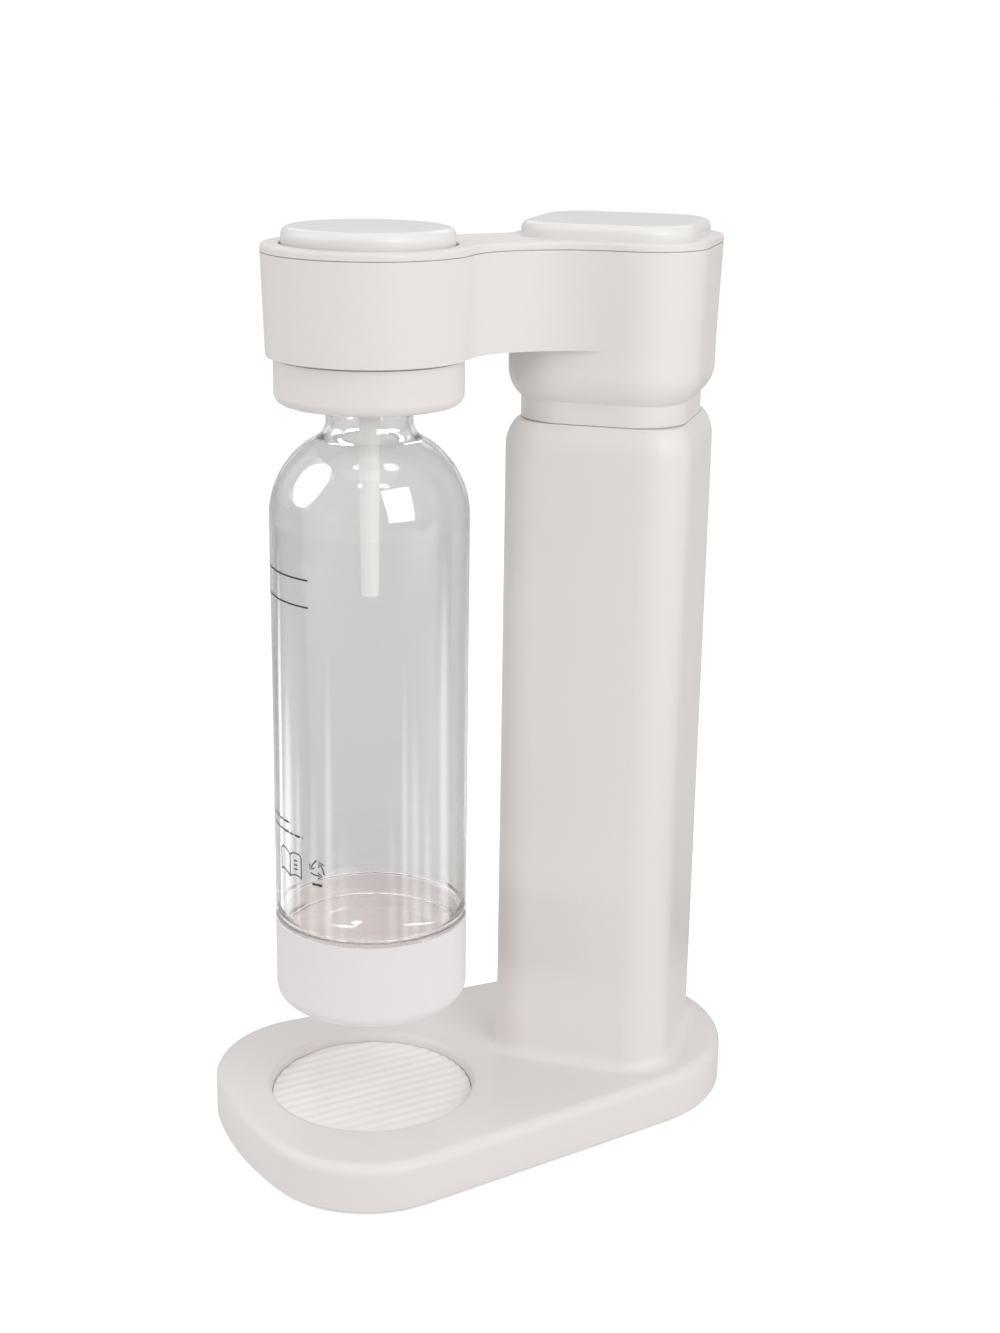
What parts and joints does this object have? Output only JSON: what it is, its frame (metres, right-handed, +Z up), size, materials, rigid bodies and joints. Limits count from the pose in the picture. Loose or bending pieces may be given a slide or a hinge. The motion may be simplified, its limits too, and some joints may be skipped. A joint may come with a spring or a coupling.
{
  "type": "soda carbonator",
  "caption": "Countertop water carbonator: flat base, rounded-square column, waisted head with a large press button, and a clear bottle with a cup hanging below.",
  "frame": {"origin": "centre of the footprint on the table, bottom of the rubber feet", "axes": "+Z up along the column, the bottle side faces -Y, +Y is the column side, +X is the right side seen from the bottle"},
  "size_m": [0.1552, 0.255, 0.424],
  "materials": {
    "shell_white": "warm off-white moulded plastic, satin",
    "disc_white": "off-white moulded plastic, ribbed, satin",
    "cap_gloss": "milky white moulded plastic, glossier than the shell",
    "cup_white": "cool white moulded plastic, satin",
    "inner_white": "white moulded plastic, matt",
    "inner_grey": "grey moulded plastic, matt",
    "wand_white": "translucent white plastic tube",
    "bottle_clear": "clear blown plastic",
    "foot_rubber": "dark soft rubber",
    "seal_rubber": "black seal rubber",
    "hose_black": "black pressure hose",
    "screw_steel": "zinc plated steel",
    "spring_steel": "bright spring steel",
    "lever_steel": "pressed steel",
    "frame_aluminium": "die-cast aluminium",
    "valve_brass": "machined brass",
    "cylinder_paint": "painted gas cylinder"
  },
  "bodies": {
    "machine": {"body_shell": "shell_white", "base_cover": "inner_white", "feet": "foot_rubber", "base_screws": "screw_steel", "cylinder_guide": "inner_grey", "head_body": "shell_white", "neck_screws": "screw_steel", "head_plate": "shell_white", "button_guide": "inner_grey", "guide_screws": "screw_steel", "button_spring": "spring_steel", "rear_cap": "cap_gloss", "valve_frame": "frame_aluminium", "frame_screws": "screw_steel", "pivot_pin": "spring_steel", "valve_block": "valve_brass", "valve_washer": "seal_rubber", "gas_hose": "hose_black", "nozzle_block": "inner_grey", "hose_nuts": "valve_brass", "relief_cap": "valve_brass", "relief_spring": "spring_steel", "wand": "wand_white", "bottle_seal": "seal_rubber", "collar": "shell_white", "collar_screws": "screw_steel"},
    "button": {"button": "cap_gloss"},
    "lever": {"lever": "lever_steel"},
    "valve_pin": {"valve_pin": "spring_steel"},
    "cylinder": {"gas_cylinder": "cylinder_paint", "cylinder_valve": "valve_brass"},
    "door": {"cylinder_door": "inner_white"},
    "drip_disc": {"drip_disc": "disc_white"},
    "relief": {"relief_plunger": "valve_brass"},
    "grip_ring": {"grip_ring": "inner_grey"},
    "bottle": {"bottle": "bottle_clear", "bottle_cup": "cup_white"}
  },
  "joints": [
    {"name": "button_press", "type": "slide", "parent": "machine", "child": "button", "axis": [0, 0, -1], "range_m": [0, 0.005], "stiffness_N_per_m": 900, "springref_m": -0.004, "deforming": ["button_spring"]},
    {"name": "lever_turn", "type": "hinge", "parent": "machine", "child": "lever", "pos_m": [0, 0.1, 0.3982], "axis": [1, 0, 0], "range_deg": [0, 1.8]},
    {"name": "valve_pin_press", "type": "slide", "parent": "machine", "child": "valve_pin", "axis": [0, 0, -1], "range_m": [0, 0.00114]},
    {"name": "relief_lift", "type": "slide", "parent": "machine", "child": "relief", "axis": [0, 0, 1], "range_m": [0, 0.0012], "stiffness_N_per_m": 400, "springref_m": -0.002, "deforming": ["relief_spring"]},
    {"name": "bottle_turn", "type": "hinge", "parent": "machine", "child": "grip_ring", "pos_m": [0, -0.0595, 0.355], "axis": [0, 0, 1], "range_deg": [0, 60]},
    {"name": "bottle_drop", "type": "slide", "parent": "grip_ring", "child": "bottle", "axis": [0, 0, -1], "range_m": [0, 0.03]},
    {"name": "drip_disc_lift", "type": "slide", "parent": "machine", "child": "drip_disc", "axis": [0, 0, 1], "range_m": [0, 0.014]},
    {"name": "cylinder_turn", "type": "hinge", "parent": "machine", "child": "cylinder", "pos_m": [0, 0.064, 0.2], "axis": [0, 0, 1], "range_deg": [0, 360]},
    {"name": "door_turn", "type": "hinge", "parent": "machine", "child": "door", "pos_m": [0, 0.064, 0.004], "axis": [0, 0, 1], "range_deg": [0, 64]}
  ],
  "couplings": [
    {"joint": "lever_turn", "follows": "button_press", "rad_per_m": 6.25},
    {"joint": "valve_pin_press", "follows": "button_press", "ratio": 0.2257}
  ]
}
